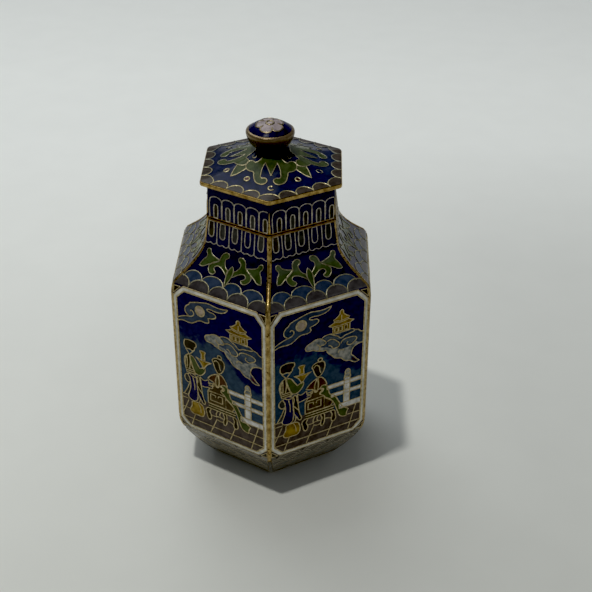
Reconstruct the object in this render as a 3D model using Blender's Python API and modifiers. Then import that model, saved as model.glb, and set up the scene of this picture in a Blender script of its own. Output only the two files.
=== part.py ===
"""Six-sided cloisonne jar with a lift-off lid and a turned knob.

Metres, +Z up. The origin is the middle of the underside and one corner points to -Y.
"""

import math

import bmesh
import bpy

# The jar's six-sided plan. A corner radius runs from the axis to a corner.
SIDES = 6
FRONT_CORNER_TURN = math.radians(-90)
FLAT_SHARE = math.cos(math.pi / SIDES)

# Jar body, from the floor up.
FOOT_CORNER_RADIUS = 0.0193
FOOT_RING_WIDTH = 0.0022
FOOT_RECESS = 0.0008
BODY_CORNER_RADIUS = 0.0303
BASE_HEIGHT = 0.0164
BASE_TOP_PULL = 0.0032
BASE_FOOT_PULL = 0.0047
BASE_FOOT_SLOPE = math.radians(42.6)
PANEL_HEIGHT = 0.0421
SHOULDER_HEIGHT = 0.0141
SHOULDER_ROUND = 0.00696
SHOULDER_TURN = math.radians(28.7)
SHOULDER_EDGE_PULL = 0.0006
SHOULDER_NECK_PULL = 0.0050
NECK_FOOT_CORNER_RADIUS = 0.0200
NECK_HEIGHT = 0.0057
NECK_CORNER_RADIUS = 0.0191
BODY_WALL = 0.0018
BODY_FLOOR = 0.0020

# Sleeve inside the neck that the lid slips over.
SLEEVE_RISE = 0.0040
SLEEVE_DEPTH = 0.0035
SLEEVE_WALL = 0.0008
SLEEVE_CLEARANCE = 0.0003

# Lid.
SEAT_GAP = 0.0003
COLLAR_HEIGHT = 0.0092
COLLAR_TOP_CORNER_RADIUS = 0.0187
RIM_CORNER_RADIUS = 0.0209
RIM_HEIGHT = 0.0011
ROOF_RISE = 0.0051
ROOF_HOLLOW = 1.6
KNOB_SEAT_CORNER_RADIUS = 0.0038
LID_WALL = 0.0014

# Knob, turned round.
KNOB_FOOT_RADIUS = 0.0031
KNOB_CUP_HEIGHT = 0.0041
KNOB_BEAD_RADIUS = 0.0006
KNOB_BEAD_PITCH_RADIUS = 0.0055
KNOB_DOME_RISE = 0.00175
KNOB_CUP_FOOT_PULL = 0.0018
KNOB_CUP_TOP_PULL = 0.0016

# Roundings and how finely curves are divided.
CORNER_ROUND = 0.0006
EDGE_ROUND = 0.0003
ROUND_SEGMENTS = 3
CURVE_POINTS = 12
ARC_POINTS = 5
ROOF_POINTS = 10
DOME_POINTS = 8
KNOB_FACETS = 36
MERGE_DISTANCE = 0.00001
SHARP_EDGE = math.radians(50)
UPRIGHT_TURN = 0.01

# Heights that follow from the stack.
BASE_TOP = BASE_HEIGHT
PANEL_TOP = BASE_TOP + PANEL_HEIGHT
NECK_FOOT = PANEL_TOP + SHOULDER_HEIGHT
LIP = NECK_FOOT + NECK_HEIGHT
COLLAR_FOOT = LIP + SEAT_GAP
COLLAR_TOP = COLLAR_FOOT + COLLAR_HEIGHT
ROOF_EDGE = COLLAR_TOP + RIM_HEIGHT
KNOB_SEAT = ROOF_EDGE + ROOF_RISE
KNOB_FOOT = KNOB_SEAT + SEAT_GAP


def clear_scene():
    for old in list(bpy.data.objects):
        bpy.data.objects.remove(old, do_unlink=True)


def material(name, colour, roughness, metallic):
    made = bpy.data.materials.new(name)
    made.use_nodes = True
    made.diffuse_color = (*colour, 1.0)
    shader = made.node_tree.nodes["Principled BSDF"]
    shader.inputs["Base Color"].default_value = (*colour, 1.0)
    shader.inputs["Roughness"].default_value = roughness
    shader.inputs["Metallic"].default_value = metallic
    return made


def bezier(start, start_handle, end_handle, end, count):
    """Points of a cubic curve in the (radius, height) plane, both ends included."""
    points = []
    for step in range(count + 1):
        t = step / count
        weights = ((1 - t) ** 3, 3 * t * (1 - t) ** 2, 3 * t * t * (1 - t), t**3)
        ends = (start, start_handle, end_handle, end)
        radius = sum(weight * point[0] for weight, point in zip(weights, ends))
        height = sum(weight * point[1] for weight, point in zip(weights, ends))
        points.append((radius, height))
    return points


def arc(centre, radius, start, end, count):
    points = []
    for step in range(count + 1):
        angle = start + (end - start) * step / count
        points.append((centre[0] + radius * math.cos(angle), centre[1] + radius * math.sin(angle)))
    return points


def at_corner(flat_distance):
    """Corner radius that lies this much further out, measured square to a flat side."""
    return flat_distance / FLAT_SHARE


def inset(profile, wall):
    """The inner face of a wall, from an outer profile that runs top to bottom."""
    flat = [(radius * FLAT_SHARE, height) for radius, height in profile]
    normals = []
    for first, second in zip(flat, flat[1:]):
        run = math.hypot(second[0] - first[0], second[1] - first[1])
        normals.append(((second[1] - first[1]) / run, -(second[0] - first[0]) / run))
    inner = []
    for index, (radius, height) in enumerate(flat):
        before = normals[max(index - 1, 0)]
        after = normals[min(index, len(normals) - 1)]
        length = 1 + before[0] * after[0] + before[1] * after[1]
        shift = ((before[0] + after[0]) / length, (before[1] + after[1]) / length)
        inner.append(((radius + wall * shift[0]) / FLAT_SHARE, height + wall * shift[1]))
    return inner


def between(first, second, height):
    share = (height - first[1]) / (second[1] - first[1])
    return (first[0] + (second[0] - first[0]) * share, height)


def above(profile, height):
    """The part of a falling profile above a height, ending on it."""
    kept = [point for point in profile if point[1] > height + MERGE_DISTANCE]
    lower = next(point for point in profile if point[1] <= height + MERGE_DISTANCE)
    return kept + [between(kept[-1], lower, height) if lower[1] < height else (lower[0], height)]


def below(profile, height):
    """The part of a falling profile below a height, starting on it."""
    kept = [point for point in profile if point[1] < height - MERGE_DISTANCE]
    last = [point for point in profile if point[1] >= height - MERGE_DISTANCE][-1]
    return [between(last, kept[0], height)] + kept


def shoulder_profile():
    """From the neck's lip down to the top of the upright sides."""
    edge = arc((BODY_CORNER_RADIUS - SHOULDER_ROUND, PANEL_TOP), SHOULDER_ROUND, SHOULDER_TURN, 0, ARC_POINTS)
    meet = edge[0]
    lean = (-math.sin(SHOULDER_TURN), math.cos(SHOULDER_TURN))
    foot_of_neck = (NECK_FOOT_CORNER_RADIUS, NECK_FOOT)
    sweep = bezier(
        foot_of_neck,
        (foot_of_neck[0], foot_of_neck[1] - SHOULDER_NECK_PULL),
        (meet[0] + lean[0] * SHOULDER_EDGE_PULL, meet[1] + lean[1] * SHOULDER_EDGE_PULL),
        meet,
        CURVE_POINTS,
    )
    return [(NECK_CORNER_RADIUS, LIP)] + sweep + edge[1:]


def base_profile():
    """From the bottom of the upright sides in to the foot."""
    foot = (FOOT_CORNER_RADIUS, 0.0)
    slope = (math.cos(BASE_FOOT_SLOPE), math.sin(BASE_FOOT_SLOPE))
    return bezier(
        (BODY_CORNER_RADIUS, BASE_TOP),
        (BODY_CORNER_RADIUS, BASE_TOP - BASE_TOP_PULL),
        (foot[0] + slope[0] * BASE_FOOT_PULL, slope[1] * BASE_FOOT_PULL),
        foot,
        CURVE_POINTS,
    )


def collar_radius(height):
    """Corner radius of the lid's collar at a height."""
    share = (height - COLLAR_FOOT) / COLLAR_HEIGHT
    return NECK_CORNER_RADIUS + (COLLAR_TOP_CORNER_RADIUS - NECK_CORNER_RADIUS) * share


def body_profile():
    """One closed wall: up the inside, over the sleeve and the lip, down the outside, and in underneath."""
    outside = shoulder_profile() + base_profile()
    floor = FOOT_RECESS + BODY_FLOOR
    inside = inset(outside, BODY_WALL)
    wall = above(below(inside, LIP - SLEEVE_DEPTH), floor)
    sleeve_top = LIP + SLEEVE_RISE
    sleeve_out = collar_radius(sleeve_top) - at_corner(LID_WALL + SLEEVE_CLEARANCE)
    sleeve_in = min(sleeve_out - at_corner(SLEEVE_WALL), wall[0][0] - MERGE_DISTANCE)
    ring_in = FOOT_CORNER_RADIUS - at_corner(FOOT_RING_WIDTH)
    return (
        [(0.0, floor)]
        + wall[::-1]
        + [(sleeve_in, LIP - SLEEVE_DEPTH + BODY_WALL)]
        + [(sleeve_in, sleeve_top), (sleeve_out, sleeve_top), (sleeve_out, LIP)]
        + outside
        + [(ring_in, 0.0), (ring_in - FOOT_RECESS, FOOT_RECESS), (0.0, FOOT_RECESS)]
    )


def roof_profile():
    """From the knob's seat down the hollow slope to the rim."""
    points = []
    for step in range(ROOF_POINTS + 1):
        share = step / ROOF_POINTS
        radius = KNOB_SEAT_CORNER_RADIUS + (RIM_CORNER_RADIUS - KNOB_SEAT_CORNER_RADIUS) * share
        points.append((radius, ROOF_EDGE + ROOF_RISE * (1 - share) ** ROOF_HOLLOW))
    return points


def lid_profile():
    """Roof, rim and collar outside, then the hollow inside."""
    roof = roof_profile()
    collar = [(COLLAR_TOP_CORNER_RADIUS, COLLAR_TOP), (NECK_CORNER_RADIUS, COLLAR_FOOT)]
    hollow = inset([(0.0, KNOB_SEAT)] + roof, LID_WALL)
    collar_in = inset(collar, LID_WALL)
    ceiling = [point for point in hollow if point[0] < collar_in[0][0] - EDGE_ROUND]
    corner = (collar_in[0][0], ceiling[-1][1])
    return [(0.0, KNOB_SEAT)] + roof + [(RIM_CORNER_RADIUS, COLLAR_TOP)] + collar + [collar_in[1], corner] + ceiling[::-1]


def knob_profile():
    """Domed top, bead and cup, down to the seat."""
    bead = (KNOB_BEAD_PITCH_RADIUS, KNOB_FOOT + KNOB_CUP_HEIGHT + KNOB_BEAD_RADIUS)
    dome_edge = bead[1] + KNOB_BEAD_RADIUS
    sphere = (KNOB_BEAD_PITCH_RADIUS**2 + KNOB_DOME_RISE**2) / (2 * KNOB_DOME_RISE)
    opening = math.asin(KNOB_BEAD_PITCH_RADIUS / sphere)
    centre = (0.0, dome_edge + KNOB_DOME_RISE - sphere)
    dome = arc(centre, sphere, math.pi / 2, math.pi / 2 - opening, DOME_POINTS)
    round_bead = arc(bead, KNOB_BEAD_RADIUS, math.pi / 2, -math.pi / 3, ARC_POINTS)
    cup_top = round_bead[-1]
    cup = bezier(
        cup_top,
        (cup_top[0], cup_top[1] - KNOB_CUP_TOP_PULL),
        (KNOB_FOOT_RADIUS + KNOB_CUP_FOOT_PULL, KNOB_FOOT + EDGE_ROUND),
        (KNOB_FOOT_RADIUS, KNOB_FOOT),
        CURVE_POINTS,
    )
    return [(0.0, dome[0][1])] + dome[1:] + round_bead[1:] + cup[1:] + [(0.0, KNOB_FOOT)]


def turned_mesh(name, profile, facets):
    """A profile swept round the axis in so many flat or fine steps, as a mesh object."""
    mesh = bpy.data.meshes.new(name + "_profile")
    points = [(radius, 0.0, height) for radius, height in profile]
    mesh.from_pydata(points, [(index, index + 1) for index in range(len(points) - 1)], [])
    guide = bpy.data.objects.new(name + "_profile", mesh)
    bpy.context.scene.collection.objects.link(guide)
    screw = guide.modifiers.new("Screw", "SCREW")
    screw.axis = "Z"
    screw.steps = facets
    screw.render_steps = facets
    screw.use_smooth_shade = False
    screw.use_merge_vertices = True
    screw.merge_threshold = MERGE_DISTANCE
    graph = bpy.context.evaluated_depsgraph_get()
    turned = bpy.data.meshes.new_from_object(guide.evaluated_get(graph))
    bpy.data.objects.remove(guide, do_unlink=True)
    return turned


def is_upright_corner(edge):
    """Whether an edge runs up a corner of the six-sided plan."""
    first, second = (vertex.co for vertex in edge.verts)
    if min(math.hypot(first.x, first.y), math.hypot(second.x, second.y)) < KNOB_SEAT_CORNER_RADIUS / 2:
        return False
    turn = math.atan2(first.y, first.x) - math.atan2(second.y, second.x)
    return abs(math.sin(turn)) < UPRIGHT_TURN and math.cos(turn) > 0


def six_sided_piece(name, profile, finish, collection):
    mesh = turned_mesh(name, profile, SIDES)
    shape = bmesh.new()
    shape.from_mesh(mesh)
    bmesh.ops.remove_doubles(shape, verts=shape.verts, dist=MERGE_DISTANCE)
    weight = shape.edges.layers.float.new("bevel_weight_edge")
    for edge in shape.edges:
        edge[weight] = 1.0 if is_upright_corner(edge) else 0.0
    bmesh.ops.recalc_face_normals(shape, faces=shape.faces)
    shape.to_mesh(mesh)
    shape.free()
    piece = bpy.data.objects.new(name, mesh)
    piece.rotation_euler.z = FRONT_CORNER_TURN
    collection.objects.link(piece)
    corners = piece.modifiers.new("Rounded corners", "BEVEL")
    corners.limit_method = "WEIGHT"
    corners.width = CORNER_ROUND
    corners.segments = ROUND_SEGMENTS
    edges = piece.modifiers.new("Rounded edges", "BEVEL")
    edges.limit_method = "ANGLE"
    edges.angle_limit = SHARP_EDGE
    edges.width = EDGE_ROUND
    edges.segments = ROUND_SEGMENTS - 1
    mesh.materials.clear()
    mesh.materials.append(finish)
    return piece


def round_piece(name, profile, finish, collection):
    mesh = turned_mesh(name, profile, KNOB_FACETS)
    shape = bmesh.new()
    shape.from_mesh(mesh)
    bmesh.ops.remove_doubles(shape, verts=shape.verts, dist=MERGE_DISTANCE)
    shape.to_mesh(mesh)
    shape.free()
    piece = bpy.data.objects.new(name, mesh)
    collection.objects.link(piece)
    mesh.shade_smooth()
    mesh.set_sharp_from_angle(angle=SHARP_EDGE)
    mesh.materials.clear()
    mesh.materials.append(finish)
    return piece


def build():
    clear_scene()
    jar = bpy.data.collections.new("Cloisonne jar")
    bpy.context.scene.collection.children.link(jar)
    six_sided_piece("jar_body", body_profile(), material("Body enamel", (0.012, 0.012, 0.075), 0.18, 0.0), jar)
    six_sided_piece("lid", lid_profile(), material("Lid enamel", (0.014, 0.014, 0.110), 0.18, 0.0), jar)
    round_piece("lid_knob", knob_profile(), material("Knob brass", (0.45, 0.30, 0.10), 0.34, 1.0), jar)


build()
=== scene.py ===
"""Looks of the six-sided cloisonne jar: enamel pictures between brass wires, knob, floor, light and camera.

Metres, +Z up. Drawings are in millimetres, across and down one side of the jar, or as seen from above
the lid with the front corner down.
"""

import math
from bisect import bisect_right

import bpy
from mathutils import Matrix, Vector


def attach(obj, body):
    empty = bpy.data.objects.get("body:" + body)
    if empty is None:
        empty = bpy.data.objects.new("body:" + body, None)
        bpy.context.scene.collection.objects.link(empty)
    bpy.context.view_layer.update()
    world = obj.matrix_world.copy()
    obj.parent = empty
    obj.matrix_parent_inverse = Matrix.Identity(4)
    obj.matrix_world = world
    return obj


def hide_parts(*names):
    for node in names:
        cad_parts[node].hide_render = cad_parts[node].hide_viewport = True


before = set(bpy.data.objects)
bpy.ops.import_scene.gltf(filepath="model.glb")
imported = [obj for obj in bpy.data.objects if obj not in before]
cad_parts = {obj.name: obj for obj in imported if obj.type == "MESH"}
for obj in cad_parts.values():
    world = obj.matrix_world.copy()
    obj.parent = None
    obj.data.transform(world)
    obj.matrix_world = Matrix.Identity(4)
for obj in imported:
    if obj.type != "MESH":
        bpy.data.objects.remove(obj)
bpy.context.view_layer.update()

MM = 0.001
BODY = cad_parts["jar_body"]
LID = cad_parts["lid"]

# The six flat sides of the plan; side 5 faces front right and side 4 front left.
SIDES = 6
SIDE_TURN = math.radians(60)
HALF_SIDE = math.radians(30)
FRONT_CORNER = 4

# Heights over the floor.
LIP = 78.3
BODY_FOOT = 0.35
COLLAR_TOP = 87.7
COLLAR_FOOT = 78.75

# How a side's profile is read: from this far out, in metres, and at heights this far apart.
FAR = 0.1
ROW = 0.25

# Where drawings start on the body, down the surface from the lip.
PANEL_START = 21.17
BASE_START = 65.57

# How far each layer stands off the metal, and the round wire before it is flattened.
GROUND = 0.10
CELL = 0.125
DETAIL = 0.15
TOP = 0.175
FRAME = 0.165
WIRE_LIFT = 0.17
BASE_WIRE_LIFT = 0.12
WIRE_RADIUS = 0.155
WIRE_FLATTEN = 0.55
ENAMEL_THICKNESS = 0.06

# Strips in the corners: radius, and how far the middle lies inside the corner.
FRONT_STRIP = (0.70, 0.58)
BODY_STRIP = (0.62, 0.58)
COLLAR_STRIP = (0.43, 0.32)
ENAMELLED_CORNER = (0.60, 0.58)

# Heights at which strips begin and end, and how much the collar's strips thin towards the top.
BODY_CORNER_FOOT = 1.0
BODY_STRIP_FOOT = 12.4
COLLAR_STRIP_TOP = 85.2
COLLAR_STRIP_TAPER = 0.8

# How far the enamel stops short of a corner.
FRONT_MARGIN = 0.74
BODY_MARGIN = 0.48
COLLAR_MARGIN = 0.36

# Small differences between the hand-made pictures of the six sides.
SIDE_DRIFT = (-0.3, 0.2, -0.15, 0.1, -0.5, 0.0)

# Half the width of a picture inside its white frame.
PANEL_HALF = 13.55

SHARP_EDGE = math.radians(50)
S = 1  # marks a sharp corner in a drawn line


def pick(*pieces):
    bpy.ops.object.select_all(action="DESELECT")
    for piece in pieces:
        piece.select_set(True)
    bpy.context.view_layer.objects.active = pieces[0]


def joined(name, pieces):
    pick(*pieces)
    if len(pieces) > 1:
        bpy.ops.object.join()
    piece = pieces[0]
    piece.name = name
    piece.data.name = name
    return piece


def placed(name, data):
    piece = bpy.data.objects.new(name, data)
    bpy.context.scene.collection.objects.link(piece)
    return piece


def twin(piece):
    """A copy with its own mesh."""
    return placed(piece.name, piece.data.copy())


def smoothed(piece, angle=SHARP_EDGE):
    pick(piece)
    bpy.ops.object.shade_smooth_by_angle(angle=angle)


# Finishes

SIDE_LIGHT = 0.36
PINHOLE = (16, 13, 8)
COUNTER_ENAMEL = (24, 64, 110)
BRASS_PIT = (0.10, 0.06, 0.03, 1.0)


def linear(seen):
    """A colour as seen in a picture, 0 to 255, as scene light."""
    shares = [level / 255 for level in seen]
    return [share / 12.92 if share <= 0.04045 else ((share + 0.055) / 1.055) ** 2.4 for share in shares]


def glaze_colour(seen):
    """The enamel's own colour, from how it looks on a side that catches about a third of the light."""
    return (*[min(level / SIDE_LIGHT, 0.9) for level in linear(seen)], 1.0)


class Finish:
    """A new material, patterned by each piece's own place."""

    def __init__(self, name):
        self.material = bpy.data.materials.new(name)
        self.material.use_nodes = True
        self.nodes = self.material.node_tree.nodes
        self.shader = self.nodes["Principled BSDF"]
        self.place = self.nodes.new("ShaderNodeTexCoord").outputs["Object"]

    def feed(self, socket, value):
        """Joins an output to a socket, or sets a number or a colour on it."""
        if isinstance(value, bpy.types.NodeSocket):
            self.material.node_tree.links.new(value, socket)
        else:
            socket.default_value = value

    def surface(self, socket, value):
        self.feed(self.shader.inputs[socket], value)

    def node(self, kind, inputs, output, **settings):
        made = self.nodes.new(kind)
        for name, value in settings.items():
            setattr(made, name, value)
        for socket, value in inputs.items():
            self.feed(made.inputs[socket], value)
        return made.outputs[output]

    def noise(self, scale, detail):
        inputs = {"Scale": scale, "Detail": detail, "Vector": self.place}
        return self.node("ShaderNodeTexNoise", inputs, "Fac")

    def remap(self, value, low, high, out_low, out_high):
        ends = {"From Min": low, "From Max": high, "To Min": out_low, "To Max": out_high}
        return self.node("ShaderNodeMapRange", {**ends, "Value": value}, "Result")

    def blend(self, share, first, second):
        return self.node("ShaderNodeMix", {"Factor": share, 6: first, 7: second}, 2, data_type="RGBA")

    def maths(self, operation, first, second):
        return self.node("ShaderNodeMath", {0: first, 1: second}, "Value", operation=operation)

    def vectors(self, operation, inputs, output="Vector"):
        return self.node("ShaderNodeVectorMath", inputs, output, operation=operation)

    def part(self, axis, vector):
        return self.node("ShaderNodeSeparateXYZ", {"Vector": vector}, axis)

    def bump(self, height, distance):
        inputs = {"Distance": distance, "Strength": 1.0, "Height": height}
        self.surface("Normal", self.node("ShaderNodeBump", inputs, "Normal"))

    def polish(self, smooth, rough, specular, ripple):
        """Ground and polished enamel: soft undulation and uneven gloss."""
        self.surface("Specular IOR Level", specular)
        self.surface("Roughness", self.remap(self.noise(900, 2), 0.35, 0.65, smooth, rough))
        self.bump(self.noise(1200, 2), ripple)


def enamel(
    name, bright, deep, smooth=0.14, rough=0.24, specular=0.2, ripple=0.00002, pinholes=True, clouds=520
):
    """Opaque enamel that clouds from one shade to another, with dark pinholes."""
    finish = Finish(name)
    clouding = finish.remap(finish.noise(clouds, 4), 0.36, 0.64, 0, 1)
    colour = finish.blend(clouding, glaze_colour(deep), glaze_colour(bright))
    if pinholes:
        holes = finish.remap(finish.noise(3200, 1), 0.72, 0.78, 0, 1)
        colour = finish.blend(holes, colour, glaze_colour(PINHOLE))
    finish.surface("Base Color", colour)
    finish.polish(smooth, rough, specular, ripple)
    return finish


def night_sky(name):
    """Cobalt at the top of the panel, clouding to a lighter blue lower down, as its drawing map says."""
    finish = Finish(name)
    drawn = finish.node("ShaderNodeUVMap", {}, "UV", uv_map="drawing")
    # the two blues meet 14.2 mm down on the left and 24 mm down on the right
    edge = finish.remap(finish.part("X", drawn), -0.01, 0.08, 0.142, 0.240)
    ragged = finish.remap(finish.noise(420, 5), 0.2, 0.8, -0.03, 0.03)
    depth = finish.maths("ADD", finish.maths("SUBTRACT", finish.part("Y", drawn), edge), ragged)
    share = finish.remap(depth, -0.012, 0.014, 0, 1)
    mottle = finish.remap(finish.noise(700, 4), 0.35, 0.65, 0, 1)
    pale = finish.blend(mottle, glaze_colour((26, 36, 47)), glaze_colour((35, 46, 58)))
    dark = finish.blend(mottle, glaze_colour((9, 9, 33)), glaze_colour((14, 14, 46)))
    finish.surface("Base Color", finish.blend(share, dark, pale))
    finish.polish(0.14, 0.24, 0.2, 0.00002)
    return finish


def brass(name, bright, dull, smooth, rough, wear=700, metallic=1.0, pits=None, back=None):
    """Polished brass with brown patches and fine scratches; it may be pitted, or carry a painted shade that
    makes it duller at the back.
    """
    finish = Finish(name)
    finish.surface("Metallic", metallic)
    patches = finish.remap(finish.noise(wear, 5), 0.35, 0.62, 0, 1)
    colour = finish.blend(patches, (*dull, 1.0), (*bright, 1.0))
    if pits:
        holes = finish.remap(finish.noise(pits, 2), 0.60, 0.66, 0, 1)
        colour = finish.blend(holes, colour, BRASS_PIT)
    # painted shade: towards the back the brass turns to a dull grey
    if back:
        behind = finish.remap(finish.part("Y", finish.place), -0.013, 0.003, 0, 1)
        colour = finish.blend(behind, colour, (*back, 1.0))
    finish.surface("Base Color", colour)
    finish.surface("Roughness", finish.remap(patches, 0, 1, rough, smooth))
    finish.bump(finish.noise(2600, 3), 0.00005)
    return finish


def gilt_metal(name):
    """The jar's copper body: gilt where it shows outside, blue counter-enamel inside and underneath."""
    finish = brass(name, (0.53, 0.37, 0.135), (0.25, 0.16, 0.055), 0.26, 0.42)
    outward = finish.vectors("MULTIPLY", {0: finish.place, 1: (1, 1, 0)})
    normal = finish.place.node.outputs["Normal"]
    facing = finish.vectors("DOT_PRODUCT", {0: outward, 1: normal}, "Value")
    inside = finish.remap(facing, -0.0005, -0.002, 0, 1)
    metal = finish.shader.inputs["Base Color"].links[0].from_socket
    finish.surface("Base Color", finish.blend(inside, metal, glaze_colour(COUNTER_ENAMEL)))
    finish.surface("Metallic", finish.remap(inside, 0, 1, 1, 0))
    return finish


def paper_with_painted_light(name):
    """The pale matt surface the jar stands on, with painted light falloff that makes it darker far off and
    towards the front, and a painted shadow on the right nearer the front.
    """
    finish = Finish(name)
    across, along = (finish.part(axis, finish.place) for axis in "XY")
    # painted light falloff: darker beyond 0.28 m back
    far = finish.remap(along, 0.28, 0.44, 1.0, 0.9)
    grain = finish.remap(finish.noise(60, 4), 0.3, 0.7, 0.99, 1.01)
    # painted shade: the paper is darker towards the front
    depth = finish.remap(along, -0.10, 0.20, 0, 1)
    paper = finish.blend(depth, (0.655, 0.665, 0.625, 1), (0.875, 0.895, 0.875, 1))
    # painted shadow: darker to the right, on the floor nearer than 0.22 m back
    right = finish.remap(across, -0.08, 0.08, 1.05, 0.87)
    near = finish.remap(along, 0.10, 0.22, 1, 0)
    shaded = finish.vectors("MULTIPLY", {0: paper, 1: finish.blend(near, (1.0, 1.0, 1.0, 1.0), right)})
    fall = finish.maths("MULTIPLY", grain, far)
    finish.surface("Base Color", finish.vectors("SCALE", {0: shaded, "Scale": fall}))
    finish.surface("Roughness", 0.6)
    finish.surface("Specular IOR Level", 0.2)
    return finish


GLAZES = {
    "cobalt": enamel("Cobalt enamel", (10, 9, 37), (7, 6, 26), specular=0.32),
    # the roof's cobalt is painted greyer and lighter than the body's as a painted sheen, with its gloss kept
    # weak
    "roof_cobalt": enamel("Roof cobalt enamel", (18, 22, 42), (12, 17, 30), specular=0.09),
    "sky": night_sky("Night sky enamel"),
    "teal": enamel("Teal cloud enamel", (39, 46, 58), (27, 33, 45)),
    "blue": enamel("Scale blue enamel", (36, 43, 55), (26, 32, 44), specular=0.32),
    "white": enamel("White rail enamel", (145, 144, 141), (117, 115, 110)),
    "frame_white": enamel("White frame enamel", (143, 142, 135), (118, 117, 110), clouds=400),
    "milk": enamel("Cloud white enamel", (106, 104, 97), (50, 56, 58), clouds=650),
    "cream": enamel("Moon cream enamel", (127, 114, 103), (100, 90, 78)),
    "yellow": enamel("Yellow enamel", (100, 82, 28), (68, 52, 12)),
    "amber": enamel("Window amber enamel", (72, 58, 22), (50, 40, 14)),
    "leaf": enamel("Leaf green enamel", (50, 55, 29), (37, 43, 20)),
    "vine": enamel("Vine green enamel", (44, 52, 31), (32, 38, 22), specular=0.32),
    "roof_leaf": enamel("Roof leaf green enamel", (45, 51, 31), (31, 37, 22), specular=0.12),
    "dome": enamel("Knob cobalt enamel", (7, 7, 40), (3, 3, 26), 0.24, 0.34, specular=0.08),
    "rust": enamel("Rust red enamel", (54, 34, 21), (40, 23, 12)),
    "brown": enamel("Brown enamel", (50, 41, 22), (35, 25, 13)),
    "black": enamel("Black enamel", (34, 28, 17), (22, 18, 11)),
    "navy": enamel("Navy enamel", (17, 14, 47), (10, 8, 31)),
    "haze": enamel("Cloud grey enamel", (58, 64, 68), (42, 49, 57), clouds=900),
    "slate": enamel("Slate enamel", (42, 41, 38), (30, 29, 28)),
    "base_grey": enamel(
        "Base olive grey enamel", (68, 65, 57), (58, 55, 48), 0.09, 0.11, 0.45, 0.000002, pinholes=False
    ),
    "taupe": enamel("Taupe enamel", (47, 45, 45), (35, 33, 33), specular=0.32),
    "mauve": enamel("Mauve enamel", (41, 36, 32), (30, 26, 23), specular=0.12),
    "tile": enamel("Tile enamel", (55, 48, 43), (40, 34, 31)),
    "olive": enamel("Olive enamel", (40, 36, 18), (26, 22, 10)),
    "maroon": enamel("Maroon enamel", (48, 18, 24), (28, 10, 14)),
    "pink": enamel("Pink petal enamel", (106, 98, 99), (86, 79, 80), specular=0.15),
}
WIRE_BRASS = brass("Wire brass", (0.58, 0.49, 0.29), (0.36, 0.28, 0.14), 0.42, 0.58, 1500)
SHOULDER_WIRE_BRASS = brass("Shoulder wire brass", (0.38, 0.36, 0.25), (0.24, 0.21, 0.12), 0.42, 0.58, 1500)
NECK_WIRE_BRASS = brass("Neck wire brass", (0.54, 0.50, 0.42), (0.35, 0.30, 0.24), 0.42, 0.58, 1500)
# the roof's wires carry painted shade, dull grey towards the back
ROOF_WIRE_BRASS_WITH_PAINTED_SHADE = brass(
    "Roof wire brass", (0.48, 0.42, 0.24), (0.29, 0.24, 0.13), 0.38, 0.54, 1500, back=(0.19, 0.19, 0.15)
)
BASE_WIRE_BRASS = brass("Base wire brass", (0.44, 0.39, 0.29), (0.36, 0.31, 0.22), 0.40, 0.50, 600)
FLOWER_WIRE_BRASS = brass("Flower wire brass", (0.24, 0.20, 0.13), (0.15, 0.12, 0.07), 0.36, 0.50, 1500)
LIP_BRASS = brass("Dull rim brass", (0.30, 0.20, 0.09), (0.16, 0.10, 0.04), 0.36, 0.50, 700, 0.75)
STRIP_BRASS = brass("Strip brass", (0.50, 0.365, 0.15), (0.24, 0.16, 0.065), 0.24, 0.40, pits=1300)
KNOB_BRASS = brass("Knob brass", (0.21, 0.155, 0.085), (0.13, 0.09, 0.045), 0.22, 0.36, 300, 0.6)


def owned(piece, finish):
    """Gives a finished piece its material and its place on the jar."""
    piece.data.materials.clear()
    piece.data.materials.append(finish.material)
    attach(piece, "root")


def enamelled(piece, glaze):
    owned(piece, GLAZES[glaze])


# From a drawing to enamel and wire

CURVE_STEPS = 4
STRAIGHT_END = 0.3


def spline_through(curve, line, closed):
    spline = curve.splines.new("BEZIER")
    spline.bezier_points.add(len(line) - 1)
    spline.use_cyclic_u = closed
    for knot, point in zip(spline.bezier_points, line):
        knot.co = (point[0], -point[1], 0.0)
        kind = "VECTOR" if len(point) > 2 else "AUTO"
        knot.handle_left_type = kind
        knot.handle_right_type = kind


def new_curve(name, dimensions, resolution=CURVE_STEPS):
    curve = bpy.data.curves.new(name, "CURVE")
    curve.dimensions = dimensions
    curve.resolution_u = resolution
    return placed(name, curve)


def flat_cells(name, outlines):
    """Each outline filled on its own, so that cells may overlap, as one flat mesh."""
    pieces = []
    for outline in outlines:
        piece = new_curve(name, "2D")
        piece.data.fill_mode = "BOTH"
        rings = outline if isinstance(outline[0][0], tuple) else [outline]
        for ring in rings:
            spline_through(piece.data, ring, True)
        pieces.append(piece)
    pick(*pieces)
    bpy.ops.object.convert(target="MESH")
    for piece in pieces:
        if piece.data.polygons[0].normal.z < 0:
            piece.data.flip_normals()
    return joined(name, pieces)


def unpinched(line, closed):
    """The line with a point near each end of its straight runs, as a wire is thin where it turns sharply."""
    line = list(line)
    points = []
    for here, there in zip(line, line[1:] + line[:1] if closed else line[1:]):
        points.append(here)
        run = math.dist(here[:2], there[:2])
        if len(here) > 2 and len(there) > 2 and run > 3 * STRAIGHT_END:
            for share in (STRAIGHT_END / run, 1 - STRAIGHT_END / run):
                across, down = (here[axis] + (there[axis] - here[axis]) * share for axis in (0, 1))
                points.append((across, down, S))
    return points if closed else points + line[-1:]


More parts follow.
